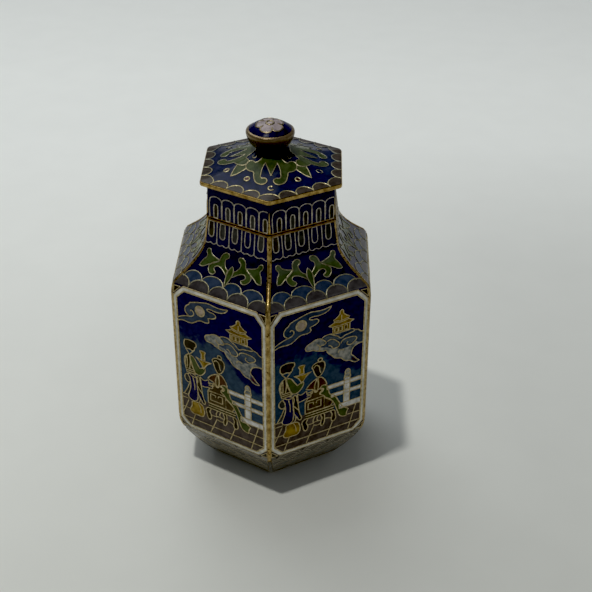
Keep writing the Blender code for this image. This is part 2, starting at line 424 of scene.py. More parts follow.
def flat_wires(name, wires, height):
    """Flattened round wires along drawn lines, as one mesh."""
    pieces = []
    for radius in sorted({wire[2] for wire in wires}):
        piece = new_curve(name, "3D")
        piece.data.bevel_depth = radius
        piece.data.bevel_resolution = 1
        piece.data.use_fill_caps = True
        for line, closed, _ in (wire for wire in wires if wire[2] == radius):
            spline_through(piece.data, unpinched(line, closed), closed)
        pieces.append(piece)
    pick(*pieces)
    bpy.ops.object.convert(target="MESH")
    piece = joined(name, pieces)
    for vertex in piece.data.vertices:
        vertex.co.z = height + vertex.co.z * WIRE_FLATTEN
    return piece


def cut(piece, planes, clear=False, fill=False):
    """Cuts a mesh along planes, each a point and a direction, and may drop what lies beyond them."""
    pick(piece)
    bpy.ops.object.mode_set(mode="EDIT")
    for point, direction in planes:
        bpy.ops.mesh.select_all(action="SELECT")
        bpy.ops.mesh.bisect(plane_co=point, plane_no=direction, clear_outer=clear, use_fill=fill)
    bpy.ops.object.mode_set(mode="OBJECT")


def enamel_sheet(piece, glaze):
    """Turns a laid sheet into a thin closed piece of enamel with the outer face where it was."""
    pick(piece)
    wall = piece.modifiers.new("Thickness", "SOLIDIFY")
    wall.thickness = ENAMEL_THICKNESS * MM
    wall.offset = -1.0
    bpy.ops.object.modifier_apply(modifier=wall.name)
    smoothed(piece, HALF_SIDE)
    enamelled(piece, glaze)


class Side:
    """One flat side seen square on: how far out and how high it is, by the run down from its top edge."""

    def __init__(self, node, start, top, foot):
        self.rows = []
        run = start - top
        steps = round((top - foot) / ROW)
        for step in range(steps + 1):
            height = top + (foot - top) * step / steps
            found, point, _, _ = node.ray_cast(Vector((FAR, 0, height * MM)), Vector((-1, 0, 0)))
            out = point.x / MM
            if self.rows:
                run += math.hypot(out - self.rows[-1][1], height - self.rows[-1][2])
            self.rows.append((run, out, height))
        self.runs = [row[0] for row in self.rows]

    def at(self, across, run, lift):
        index = min(max(bisect_right(self.runs, run), 1), len(self.rows) - 1)
        first, second = self.rows[index - 1], self.rows[index]
        length = second[0] - first[0]
        share = (run - first[0]) / length
        slope_out, slope_up = (second[1] - first[1]) / length, (second[2] - first[2]) / length
        out = first[1] + (second[1] - first[1]) * share - slope_up * lift
        height = first[2] + (second[2] - first[2]) * share + slope_out * lift
        return Vector((out, across, height)) * MM


BODY_SIDE = Side(BODY, LIP, LIP - 0.1, BODY_FOOT)
COLLAR_SIDE = Side(LID, COLLAR_TOP, COLLAR_TOP, COLLAR_FOOT)


def corner_planes(side, index):
    """Upright planes that stop a side's piece short of the strips at its two corners."""
    planes = []
    for hand, corner in ((1, index), (-1, (index - 1) % SIDES)):
        margin = FRONT_MARGIN if corner == FRONT_CORNER else BODY_MARGIN
        if side is COLLAR_SIDE:
            margin = COLLAR_MARGIN
        direction = Vector((-math.sin(HALF_SIDE), hand * math.cos(HALF_SIDE), 0))
        planes.append((-direction * margin * MM * math.cos(HALF_SIDE), direction))
    return planes


def map_drawing(mesh):
    """Keeps each point's place in the drawing as the mesh's own map, in tenths of a metre."""
    layer = mesh.uv_layers.new(name="drawing")
    for loop in mesh.loops:
        place = mesh.vertices[loop.vertex_index].co
        layer.data[loop.index].uv = (place.x * 0.01, -place.y * 0.01)


def on_six_sides(flat, side, start, lift, drift, trim, fill):
    """Lays a flat drawing on each side of the jar."""
    copies = []
    for index in range(SIDES):
        copy = twin(flat)
        for vertex in copy.data.vertices:
            across, run, height = vertex.co.x, -vertex.co.y, vertex.co.z
            across += drift * SIDE_DRIFT[index] * max(0.0, 1 - (across / PANEL_HALF) ** 2)
            vertex.co = side.at(across, run + start, lift + height)
        if trim:
            cut(copy, corner_planes(side, index), clear=True, fill=fill)
        copy.data.transform(Matrix.Rotation(SIDE_TURN * index, 4, "Z"))
        copies.append(copy)
    bpy.data.objects.remove(flat, do_unlink=True)
    return joined(copies[0].name, copies)


class Drawing:
    """Cells and wires of one part of the decoration, drawn flat."""

    def __init__(self, name, metal=WIRE_BRASS, wire_lift=WIRE_LIFT):
        self.name = name
        self.metal = metal
        self.wire_lift = wire_lift
        self.cells = {}
        self.wires = []

    def cell(self, glaze, lift, outline):
        self.cells.setdefault((glaze, lift), []).append(outline)

    def wire(self, line, closed=False, radius=WIRE_RADIUS):
        self.wires.append((line, closed, radius))

    def walled(self, glaze, lift, outline):
        self.cell(glaze, lift, outline)
        self.wire(outline, closed=True)

    def lay_on_sides(self, side, start=0.0, cuts=(), drift=0.0, trim=False, end=None):
        rows = [((0, -run, 0), (0, 1, 0)) for run in cuts]
        for (glaze, lift), outlines in self.cells.items():
            flat = flat_cells(f"{self.name}_{glaze}_{round(lift * 1000)}", outlines)
            cut(flat, rows)
            map_drawing(flat.data)
            enamel_sheet(on_six_sides(flat, side, start, lift, drift, trim, False), glaze)
        flat = flat_wires(f"{self.name}_wires", self.wires, self.wire_lift)
        if end is not None:
            cut(flat, [((0, -end, 0), (0, -1, 0))], clear=True, fill=True)
        self.finish_wires(on_six_sides(flat, side, start, 0.0, drift, trim, True))

    def lay_from_above(self, node, planes):
        for (glaze, lift), outlines in self.cells.items():
            piece = flat_cells(f"{self.name}_{glaze}_{round(lift * 1000)}", outlines)
            cut(piece, planes)
            drop(piece, node, lift)
            enamel_sheet(piece, glaze)
        piece = flat_wires(f"{self.name}_wires", self.wires, self.wire_lift)
        cut(piece, planes)
        drop(piece, node, 0.0)
        self.finish_wires(piece)

    def finish_wires(self, piece):
        smoothed(piece)
        owned(piece, self.metal)


INWARD_STEP = 0.998


def drop(piece, node, lift):
    """Sets a drawing seen from above down on a node; a point just past its edge lands a little further in."""
    for vertex in piece.data.vertices:
        start = Vector((vertex.co.x * MM, vertex.co.y * MM, 2 * FAR))
        found, point, _, _ = node.ray_cast(start, Vector((0, 0, -1)))
        while not found:
            start = Vector((start.x * INWARD_STEP, start.y * INWARD_STEP, start.z))
            found, point, _, _ = node.ray_cast(start, Vector((0, 0, -1)))
        vertex.co = point + Vector((0, 0, (lift + vertex.co.z) * MM))


def ellipse(centre, half_width, half_height, start=0.0, end=360.0, count=8):
    """Points of an oval, or of the part of it between two angles, counted from the right over the top."""
    points = []
    whole = abs(end - start) >= 360
    for step in range(count + (0 if whole else 1)):
        angle = math.radians(start + (end - start) * step / count)
        points.append((centre[0] + half_width * math.cos(angle), centre[1] - half_height * math.sin(angle)))
    return points


def mirrored(line):
    return [(-across, *rest) for across, *rest in line]


def moved(line, across, down=0.0):
    return [(point[0] + across, point[1] + down, *point[2:]) for point in line]


def sharp(line):
    return [(point[0], point[1], S) for point in line]


def scallop(left, right, foot, top):
    """A round-topped scale standing on a level line."""
    arch = ellipse(((left + right) / 2, foot), (right - left) / 2, foot - top, 180, 0, 6)
    return [(*arch[0], S)] + arch[1:-1] + [(*arch[-1], S)]


def box(left, top, right, foot):
    return [(left, top, S), (right, top, S), (right, foot, S), (left, foot, S)]


# Plain enamel of the body, the base and the lid's collar

SHEET_WIDTH = 32


def ground(name, side, first, last, step, glaze):
    """A sheet of enamel down one side between two runs, cut short of the corner strips."""
    rows = round((last - first) / step)
    bpy.ops.mesh.primitive_grid_add(x_subdivisions=2, y_subdivisions=rows, size=1)
    sheet = bpy.context.active_object
    sheet.name = name
    for vertex in sheet.data.vertices:
        vertex.co = (vertex.co.x * SHEET_WIDTH, -(first + (0.5 - vertex.co.y) * (last - first)), 0)
    enamel_sheet(on_six_sides(sheet, side, 0.0, GROUND, 0.0, True, False), glaze)


def grounds():
    ground("body_cobalt", BODY_SIDE, 0.5, 66.0, 0.6, "cobalt")
    ground("base_olive_grey", BODY_SIDE, 66.0, 83.6, 0.6, "base_grey")
    ground("collar_cobalt", COLLAR_SIDE, 0.15, 8.8, 2.0, "cobalt")


# Neck and collar

LOOP_HALF = 0.58


def level_line(height):
    """A line along a whole side of the neck or the collar."""
    return [(-11, height, S), (11, height, S)]


def collar_drawing():
    """Round arches with a narrow loop in each, up to the rim."""
    drawing = Drawing("collar", NECK_WIRE_BRASS)
    springing, arch_top, loop_top, foot = 4.0, 2.75, 5.45, 8.75
    posts = (-8.6, -4.85, -1.05, 2.65, 6.5, 10.3)
    fills = ("olive", "slate", "olive", "slate", "olive")
    for left, right, fill in zip(posts, posts[1:], fills):
        middle = (left + right) / 2
        arch = ellipse((middle, springing), (right - left) / 2, springing - arch_top, 180, 0, 6)
        drawing.wire([(left, foot, S)] + arch + [(right, foot, S)])
        loop = ellipse((middle, loop_top), LOOP_HALF, LOOP_HALF, 180, 0, 4)
        drawing.walled(fill, CELL, [(middle - LOOP_HALF, foot, S)] + loop + [(middle + LOOP_HALF, foot, S)])
    drawing.lay_on_sides(COLLAR_SIDE, trim=True)
    rings = Drawing("collar_rings", LIP_BRASS)
    rings.wire(level_line(8.9), radius=0.2)
    rings.wire(level_line(0.35), radius=0.3)
    rings.lay_on_sides(COLLAR_SIDE, trim=True)


def neck_drawing():
    """Hanging loops between bars, closed below by a wavy wire."""
    drawing = Drawing("neck", NECK_WIRE_BRASS)
    bars = (-10.0, -6.25, -2.45, 1.4, 5.35, 10.4)
    middles = (-8.0, -4.5, -0.65, 3.25, 7.3)
    fills = ("olive", "slate", "slate", "navy", "slate")
    for bar in bars[1:-1]:
        drawing.wire([(bar, 0.5, S), (bar + 0.1, 6.4, S)])
    for middle, fill in zip(middles, fills):
        loop = ellipse((middle, 4.0), 0.78, 0.85, 180, 360, 4)
        drawing.walled(fill, CELL, [(middle - 0.7, 0.5, S)] + loop + [(middle + 0.7, 0.5, S)])
    wave = []
    for left, right in zip(bars, bars[1:]):
        width = right - left
        wave.append((left, 6.3, S))
        wave += [(left + width * share, down) for share, down in ((0.25, 6.85), (0.5, 6.5), (0.75, 6.85))]
    drawing.wire(wave + [(bars[-1], 6.3, S)])
    drawing.lay_on_sides(BODY_SIDE, cuts=(2, 4, 6), trim=True)
    ring = Drawing("lip_ring", LIP_BRASS)
    ring.wire(level_line(0.3), radius=0.24)
    ring.lay_on_sides(BODY_SIDE, trim=True)


# Vine and scales of the shoulder

VINE_LEAF_RIGHT = [
    (0.9, 13.9, S), (2.3, 12.8), (3.6, 12.2), (4.45, 12.4), (4.7, 13.1), (4.2, 13.6), (3.7, 13.95),
    (4.1, 14.5), (4.9, 14.65), (5.8, 14.1), (6.35, 13.1), (6.2, 12.2), (4.3, 10.85), (3.75, 10.2),
    (3.5, 9.3), (2.9, 8.5), (2.0, 8.15), (1.25, 8.45), (1.3, 9.15), (2.05, 9.75), (2.25, 10.5), (1.7, 11.6),
    (0.75, 12.4, S),
]
VINE_LEAF_LEFT = [
    (-0.9, 13.9, S), (-2.3, 12.85), (-3.6, 12.2), (-4.6, 12.25), (-5.1, 12.9), (-4.7, 13.5), (-4.25, 13.9),
    (-4.5, 14.4), (-5.2, 14.65), (-6.1, 14.3), (-6.7, 13.3), (-6.6, 12.3), (-4.3, 10.5), (-4.05, 9.3),
    (-3.5, 8.45), (-2.6, 8.1), (-1.8, 8.45), (-1.75, 9.2), (-2.5, 9.85), (-2.5, 10.5), (-1.9, 11.8),
    (-1.0, 12.45, S),
]
TRUMPET_LEAF = [
    (4.0, 10.5, S), (6.0, 10.0), (7.2, 9.3), (7.6, 8.5), (8.4, 8.35), (8.7, 9.2), (8.2, 10.2), (9.0, 11.6),
    (9.7, 13.3, S), (8.7, 13.4), (7.0, 12.4), (5.4, 11.5),
]
MIDDLE_LEAF = [
    (0, 11.0, S), (0.65, 12.0), (0.8, 13.3), (0.4, 15.3), (-0.1, 17.0, S), (-0.6, 15.3), (-0.85, 13.3),
    (-0.6, 12.0),
]


def shoulder_drawing():
    drawing = Drawing("shoulder", SHOULDER_WIRE_BRASS)
    for leaf in (TRUMPET_LEAF, mirrored(TRUMPET_LEAF), VINE_LEAF_LEFT, VINE_LEAF_RIGHT):
        drawing.walled("vine", CELL, leaf)
    drawing.walled("vine", DETAIL, MIDDLE_LEAF)
    for left, right in ((-12.6, -7.0), (-7.1, -0.3), (-0.3, 5.4), (5.4, 12.1)):
        arch = scallop(left, right, 17.5, 15.15)
        drawing.cell("blue", CELL, [(left, 19.8, S)] + arch + [(right, 19.8, S)])
        drawing.wire(arch)
    for left, right in ((-16.2, -9.9), (-10.0, -3.6), (-3.6, 2.3), (2.3, 8.6), (8.6, 14.9)):
        arch = scallop(left, right, 19.9, 17.15)
        drawing.cell("taupe", DETAIL, arch)
        drawing.wire(arch)
    drawing.lay_on_sides(BODY_SIDE, cuts=range(8, 21), trim=True)


# White frame round each panel, in panel measures

FRAME_TRIANGLE = ((12.4, 0), (14.35, 0.1), (14.5, 2.2))


def cut_corner_frame(half, top, foot, across, down):
    """A frame line with its four corners cut off."""
    right = [(half - across, top), (half, top + down), (half, foot - down), (half - across, foot)]
    return sharp(right + [(-point[0], point[1]) for point in reversed(right)])


def frame_drawing():
    drawing = Drawing("frame")
    outer = cut_corner_frame(14.5, -0.95, 46.0, 2.9, 3.1)
    inner = cut_corner_frame(PANEL_HALF, 0.15, 44.85, 2.4, 2.4)
    drawing.cell("frame_white", FRAME, [outer, inner])
    drawing.wire(outer, closed=True, radius=0.17)
    drawing.wire(inner, closed=True, radius=0.21)
    for top, inward in ((-0.75, 1), (45.9, -1)):
        for hand in (1, -1):
            triangle = sharp((hand * across, top + inward * down) for across, down in FRAME_TRIANGLE)
            drawing.cell("black", CELL, triangle)
            drawing.wire(triangle, closed=True, radius=0.11)
    cuts = [-0.6, 0.0, 0.6, 1.2, 1.8, 43.4, 43.9, 44.4, 44.9, 45.4]
    drawing.lay_on_sides(BODY_SIDE, start=PANEL_START, cuts=cuts)


# The garden picture of each panel, in panel measures

MOON_CLOUD = [
    (-13.6, 8.9, S), (-11.1, 7.75), (-9.45, 7.35, S), (-10.7, 5.95), (-10.15, 4.2), (-9.3, 3.6),
    (-8.9, 2.95), (-7.95, 2.55), (-5.8, 1.9), (-2.65, 1.3), (-0.8, 1.55), (1.0, 1.6), (3.4, 1.2, S),
    (2.35, 2.35), (-0.15, 3.0), (-2.65, 2.9), (-3.2, 3.2), (-2.8, 3.6), (-0.7, 4.05), (-0.45, 4.75),
    (-1.1, 5.35), (-3.0, 5.95, S), (-2.75, 7.05), (-3.3, 7.5), (-5.8, 7.6), (-7.65, 8.75), (-8.75, 9.3),
    (-12.0, 9.3), (-13.6, 9.9, S),
]
MOON_CURL = [(-9.45, 7.35), (-8.3, 6.95), (-7.75, 6.25), (-7.95, 5.5), (-8.6, 5.15), (-8.85, 5.5)]
BANK_LEFT_END = [(-4.3, 12.3), (-3.9, 11.6), (-2.6, 11.0), (-1.3, 10.45), (0.0, 10.5), (0.5, 10.75, S)]
BANK_TOP = [
    (1.0, 10.3), (2.1, 10.0), (3.3, 10.05), (5.0, 10.45), (9.9, 10.35), (10.8, 10.9), (11.9, 11.25),
    (12.5, 11.85), (13.7, 12.3, S),
]
BANK_RIGHT_END = [(13.7, 15.75, S), (12.0, 15.85), (11.0, 16.25), (10.3, 16.9), (10.0, 17.8), (9.9, 18.7)]
BANK_TAIL = [(10.65, 19.5), (11.4, 20.45), (12.5, 21.5, S), (11.4, 21.7), (10.5, 21.35), (9.6, 20.65)]
BANK_FOOT = [
    (8.3, 20.35), (7.45, 19.7), (6.7, 18.9), (5.4, 18.5), (4.5, 18.0), (3.8, 17.1), (3.0, 16.4),
    (2.4, 15.6), (2.0, 14.85), (1.1, 14.75),
]
BANK_FOOT_LEFT = [(-1.1, 14.0), (-2.0, 13.5), (-3.0, 13.45), (-3.9, 13.2)]
CLOUD_BANK = BANK_LEFT_END + BANK_TOP + BANK_RIGHT_END + BANK_TAIL + BANK_FOOT + [
    (0.0, 14.4),
] + BANK_FOOT_LEFT
BANK_FOLD = [(1.0, 11.15), (1.6, 11.75), (1.95, 12.25), (1.5, 12.75), (0.3, 13.0), (0.0, 13.9)]
BANK_WHITE_LEFT = BANK_LEFT_END + BANK_FOLD + [(0.0, 14.4, S)] + BANK_FOOT_LEFT
BANK_WHITE_RIGHT = [
    (0.05, 13.2, S), (1.1, 13.7), (2.1, 13.9), (3.2, 14.6), (4.1, 14.95), (5.4, 15.0), (6.3, 15.9),
    (7.6, 16.0), (9.0, 15.9), (10.2, 15.2), (11.3, 14.9), (11.9, 15.3), (13.7, 15.5, S), *BANK_RIGHT_END,
    (9.7, 20.6, S), *BANK_FOOT, (0.0, 14.4, S),
]
BANK_SLATES = (
    [
        (1.2, 10.8, S), (2.4, 10.55), (3.4, 10.9), (4.6, 11.4), (5.6, 12.0), (6.2, 12.7, S), (5.2, 12.3),
        (4.2, 11.6), (3.0, 11.5), (2.2, 11.8), (1.6, 11.3),
    ],
    [(2.7, 12.3), (3.8, 12.1), (4.9, 12.9), (5.8, 14.1), (5.3, 14.7), (4.3, 14.6), (3.6, 13.7), (2.7, 13.3)],
    [
        (7.2, 13.4), (9.1, 13.2), (11.0, 13.6), (11.0, 14.2), (9.6, 14.9), (8.8, 14.9), (8.6, 14.2),
        (7.4, 14.2),
    ],
)
BANK_SLIVER = [(10.1, 19.8, S), (10.9, 20.4), (11.6, 21.3, S), (10.8, 21.0), (10.2, 20.4)]
BANK_WIRES = (
    [(0.5, 10.75), *BANK_FOLD, (0.0, 14.35)],
    [(-0.9, 12.0), (-0.45, 12.4), (0.1, 13.05)],
    [
        (3.3, 10.1), (4.4, 10.8), (5.5, 11.4), (6.2, 12.15), (6.6, 12.3), (7.7, 11.8), (9.1, 11.55),
        (10.4, 11.3), (10.9, 10.9),
    ],
    [
        (2.3, 12.1), (3.0, 11.8), (3.8, 11.85), (4.6, 12.25), (5.3, 12.95), (5.9, 13.6), (6.1, 14.2),
        (5.8, 14.75), (5.0, 15.0), (4.1, 14.85), (3.75, 14.3), (3.3, 13.75), (2.7, 13.6),
    ],
    [
        (6.5, 14.05), (6.75, 13.5), (7.5, 13.0), (9.1, 12.9), (10.6, 13.1), (11.4, 13.65), (11.3, 14.2),
        (10.6, 14.8), (9.5, 15.35), (8.8, 15.15), (8.4, 14.6), (8.7, 14.1),
    ],
    [(5.8, 16.9), (5.9, 16.4), (6.7, 16.2), (7.5, 16.5)],
)

PAGODA_MIDDLE = 6.5
PAGODA_HALF = [
    (0.5, 3.75), (0.55, 4.4), (1.1, 5.05), (1.8, 5.6), (2.5, 5.95, S), (2.1, 6.3, S), (2.2, 6.75, S),
    (2.9, 7.1), (3.85, 7.45, S), (3.0, 7.85), (2.6, 8.1, S), (2.6, 10.4, S),
]


def moon_and_clouds(drawing):
    drawing.walled("teal", CELL, MOON_CLOUD)
    drawing.wire(MOON_CURL)
    drawing.walled("cream", DETAIL, ellipse((-5.6, 4.6), 1.5, 1.55))
    drawing.wire(ellipse((-5.6, 4.6), 1.1, 1.12), closed=True, radius=0.09)
    drawing.walled("teal", CELL, CLOUD_BANK)
    drawing.cell("milk", DETAIL, BANK_WHITE_LEFT)
    drawing.cell("milk", DETAIL, BANK_WHITE_RIGHT)
    for shade in BANK_SLATES:
        drawing.cell("haze", DETAIL, shade)
    drawing.cell("maroon", DETAIL, BANK_SLIVER)
    for line in BANK_WIRES:
        drawing.wire(line)


def pagoda(drawing):
    outline = [(0, 3.3)] + PAGODA_HALF + mirrored(PAGODA_HALF[::-1])
    drawing.walled("yellow", DETAIL, moved(outline, PAGODA_MIDDLE))
    for half, height, dip in ((2.1, 6.3, 0.35), (2.2, 6.75, 0.35), (2.7, 8.0, 0.1)):
        drawing.wire(moved([(-half, height), (0, height + dip), (half, height)], PAGODA_MIDDLE), radius=0.13)
    drawing.wire([(PAGODA_MIDDLE, 4.9), (PAGODA_MIDDLE, 6.5)], radius=0.13)
    for left in (-2.0, -0.75, 0.9):
        window = moved(box(left, 8.55, left + 1.0, 9.9), PAGODA_MIDDLE)
        drawing.cell("amber", TOP, window)
        drawing.wire(window, closed=True, radius=0.12)


def balustrade(drawing):
    for top, foot, left in ((26.95, 28.15, 2.6), (30.2, 31.3, 4.0), (34.5, 36.2, 6.6)):
        drawing.walled("white", DETAIL, box(left, top, 13.7, foot))
    post = box(8.0, 25.9, 9.8, 34.4)
    drawing.walled("white", TOP, post)
    finial = [
        (7.9, 26.0, S), (8.2, 24.8), (8.25, 23.9), (8.9, 23.2), (9.65, 23.8), (9.75, 24.8), (10.0, 26.0, S),
    ]
    drawing.walled("milk", TOP, finial)
    drawing.wire([(8.3, 24.9), (9.0, 24.6), (9.7, 24.9)], radius=0.13)


def paving(drawing):
    edge = [(-13.75, 34.2), (-4.0, 34.2), (-4.0, 36.1), (13.75, 36.1), (13.75, 45), (-13.75, 45)]
    drawing.cell("tile", CELL, sharp(edge))
    lines = (
        ((-13.4, 34.2), (-11.3, 34.2)), ((-13.4, 35.5), (-11.0, 35.5)), ((-13.4, 42.2), (13.4, 42.2)),
        ((9.4, 39.2), (13.4, 39.2)), ((-13.4, 38.9), (-10.9, 38.9)), ((-1.45, 39.2), (-3.7, 44.4)),
        ((4.6, 39.8), (2.9, 44.4)), ((12.0, 36.2), (9.7, 44.4)), ((-9.0, 40.2), (-10.5, 44.4)),
        ((-11.2, 36.0), (-13.3, 40.6)),
    )
    for line in lines:
        drawing.wire(sharp(line), radius=0.15)


def attendant(drawing):
    """The standing figure with a cup on a tray."""
    drawing.walled("olive", CELL, [
        (-10.2, 19.8, S), (-11.6, 21), (-12, 22.8), (-11.7, 24.5), (-11.3, 26.2, S), (-8.4, 26.2, S),
        (-9.0, 24), (-9.8, 21.5),
    ])
    drawing.walled("black", DETAIL, [
        (-11.0, 20.6, S), (-11.5, 21.8), (-11.6, 23.0), (-11.3, 24.3), (-10.95, 24.4, S), (-10.95, 22.5),
    ])
    drawing.cell("black", DETAIL, [
        (-10.15, 20.9, S), (-10.6, 22.0), (-10.6, 23.4), (-10.2, 24.0, S), (-10.0, 22.6),
    ])
    drawing.wire([(-10.1, 20.2), (-9.9, 22.4), (-10.2, 24.6)])
    drawing.walled("olive", DETAIL, [(-11.6, 24.9, S), (-8.7, 24.9, S), (-8.1, 26.1, S), (-11.3, 26.2, S)])
    drawing.wire([(-11.4, 25.55, S), (-8.5, 25.5, S)])
    drawing.walled("leaf", DETAIL, [
        (-9.9, 20.1, S), (-8.8, 20.4), (-7.4, 22.3), (-6.6, 23.5, S), (-5.6, 23.0), (-4.9, 22.6, S),
        (-4.7, 23.5), (-5.3, 24.8), (-6.1, 25.6), (-7.1, 26.0), (-8.2, 25.7, S), (-8.9, 24.4), (-9.6, 22.7),
    ])
    drawing.walled("black", DETAIL, [
        (-11.5, 15.55, S), (-10.2, 15.2), (-8.7, 15.25), (-7.6, 15.6, S), (-7.5, 16.6), (-8.1, 17.3, S),
        (-8.2, 18.0), (-9.1, 18.5, S), (-9.6, 18.2), (-11.0, 18.3, S), (-11.65, 17.6), (-11.8, 16.6),
    ])
    drawing.wire([(-11.3, 18.3, S), (-10.0, 19.95, S), (-8.4, 18.3, S)])
    drawing.walled("navy", DETAIL, [
        (-10.9, 26.8), (-10.45, 27.9), (-10.2, 29.6), (-10.2, 30.9), (-10.5, 32.2), (-10.9, 33.3),
        (-11.2, 34.4), (-11.0, 35.0), (-10.0, 35.55), (-8.9, 35.6), (-8.1, 35.0), (-7.8, 34.0),
        (-7.75, 32.3), (-7.85, 30.0), (-7.9, 27.0),
    ])
    drawing.walled("black", DETAIL, [
        (-7.85, 27.0), (-7.3, 26.5), (-6.7, 28.2), (-6.3, 29.9), (-6.15, 31.6), (-5.8, 33.3), (-5.35, 35.3),
        (-5.9, 35.4), (-6.6, 34.3), (-7.4, 33.0), (-7.7, 31.5), (-7.8, 29.8),
    ])
    drawing.cell("navy", TOP, [
        (-7.4, 32.1, S), (-6.6, 32.6), (-6.1, 33.8), (-5.8, 34.9, S), (-6.6, 34.1), (-7.2, 33.0),
    ])
    drawing.cell("slate", CELL, [
        (-10.3, 29.4, S), (-11.5, 32), (-12.8, 34.2, S), (-11.3, 34.3, S), (-10.6, 32),
    ])
    drawing.cell("slate", CELL, ellipse((-11.2, 28.2), 0.9, 1.3))
    for line in (
        [(-10.4, 29.5), (-11.5, 32), (-12.8, 34.2)],
        [(-10.6, 26.3), (-9.6, 27.1), (-7.9, 27.2)],
        [(-9.3, 27.4), (-9.0, 28.6), (-8.75, 30.0), (-8.8, 31.6)],
        [(-7.7, 30.0), (-7.0, 30.9), (-6.2, 31.9)],
        [(-7.1, 33.5), (-7.0, 34.5), (-7.5, 35.7)],
        [(-10.9, 26.7), (-11.7, 27.1), (-12.2, 28.0), (-11.9, 29.1), (-11.0, 29.7), (-10.2, 29.3)],
    ):
        drawing.wire(line)
    drawing.walled("yellow", DETAIL, [
        (-9.9, 36.0), (-10.1, 37.5), (-10.8, 39.2), (-10.3, 40.0), (-8.3, 40.2), (-6.3, 40.0), (-5.7, 38.8),
        (-5.85, 37.3), (-6.2, 36.3), (-7.4, 35.7), (-8.6, 35.8),
    ])
    drawing.wire([(-7.7, 36.0), (-7.1, 37.4), (-6.9, 39.0)], radius=0.12)
    drawing.walled("yellow", DETAIL, [
        (-6.35, 17.5, S), (-5.4, 17.3), (-4.4, 17.5, S), (-4.75, 18.5, S), (-4.65, 20.1, S),
        (-5.95, 20.1, S), (-5.85, 18.5, S),
    ])
    drawing.walled("yellow", TOP, [
        (-7.7, 20.1, S), (-5.3, 20.5), (-2.45, 20.3, S), (-3.6, 21.0), (-4.4, 21.9), (-5.3, 23.3, S),
        (-5.8, 22.1), (-6.4, 21.2),
    ])


def seated_lady(drawing):
    """The seated figure, with a plain dark head and a long train."""
    drawing.walled("leaf", DETAIL, [
        (0.6, 26.6), (2.2, 26.4), (3.0, 28.2), (3.6, 30.0), (4.6, 30.5), (5.6, 31.9), (6.5, 33.6),
        (7.7, 35.6), (9.6, 37.2, S), (9.1, 38.2), (9.0, 39.4, S), (7.9, 39.3), (6.8, 38.5), (6.2, 37.1),
        (5.6, 35.4), (4.95, 33.7), (4.3, 32.5), (3.4, 31.5), (2.0, 30.4), (1.4, 29.6), (0.3, 28.5),
        (1.2, 28.2), (1.3, 27.4),
    ])
    drawing.walled("navy", DETAIL, [
        (-6.6, 26.3, S), (-5.6, 27.0), (-4.6, 26.8), (-3.9, 26.4), (-3.6, 27.5), (-2.6, 28.1), (-2.5, 28.7),
        (-3.6, 28.8), (-5.0, 29.2), (-6.3, 29.3, S),
    ])
    drawing.walled("brown", DETAIL, [
        (-1.9, 26.8), (-0.9, 27.8), (0.2, 26.9), (1.0, 27.4), (0.4, 28.5), (1.5, 29.8, S), (-4.1, 30.1, S),
        (-3.4, 29.0), (-2.5, 28.6), (-2.5, 27.8),
    ])
    drawing.walled("rust", TOP, [
        (-0.5, 23.1, S), (-2.1, 23.9), (-3.2, 24.8), (-4.0, 25.8, S), (-2.8, 26.2), (-1.9, 26.5),
        (-1.3, 27.2, S), (-1.3, 25.6), (-0.9, 24.0),
    ])
    drawing.walled("rust", TOP, [
        (-0.2, 23.1, S), (0.7, 23.2), (1.5, 24.0), (2.1, 25.0), (2.5, 26.2, S), (1.2, 26.2), (0.2, 26.9),
        (-0.3, 27.2, S), (-0.1, 25.6), (-0.2, 24.0),
    ])
    drawing.walled("brown", TOP, [
        (-0.55, 23.5, S), (-1.25, 24.9), (-1.35, 26.3), (-0.9, 27.7, S), (-0.35, 26.8), (-0.2, 25.2),
    ])
    drawing.walled("black", DETAIL, [
        (-2.2, 19.0), (-1.5, 18.2), (-0.5, 17.9), (0.5, 17.9), (1.3, 18.2), (1.75, 19.2), (1.6, 20.6),
        (1.0, 21.9), (0.2, 22.7), (-0.4, 22.8), (-0.9, 22.3), (-1.5, 21.1), (-1.9, 19.8),
    ])
    drawing.cell("slate", TOP, [(0.5, 19.6), (0.9, 20.1), (1.3, 21.0), (0.7, 22.1), (0.3, 21.6)])
    drawing.wire([(-1.7, 19.4), (-1.0, 18.8), (-0.3, 19.1), (0.1, 19.8), (0.2, 20.7), (0.5, 21.6)])
    drawing.walled("slate", DETAIL, ellipse((0.25, 17.35), 0.65, 0.6))
    drawing.cell("black", TOP, ellipse((0.25, 17.4), 0.3, 0.25))
    drawing.wire([(-3.9, 27.3), (-2.7, 27.1), (-1.9, 27.3), (-2.6, 28.0), (-3.7, 28.1)])
    drawing.wire([(0.3, 27.2), (1.3, 27.2), (1.5, 27.7), (0.7, 28.2)])


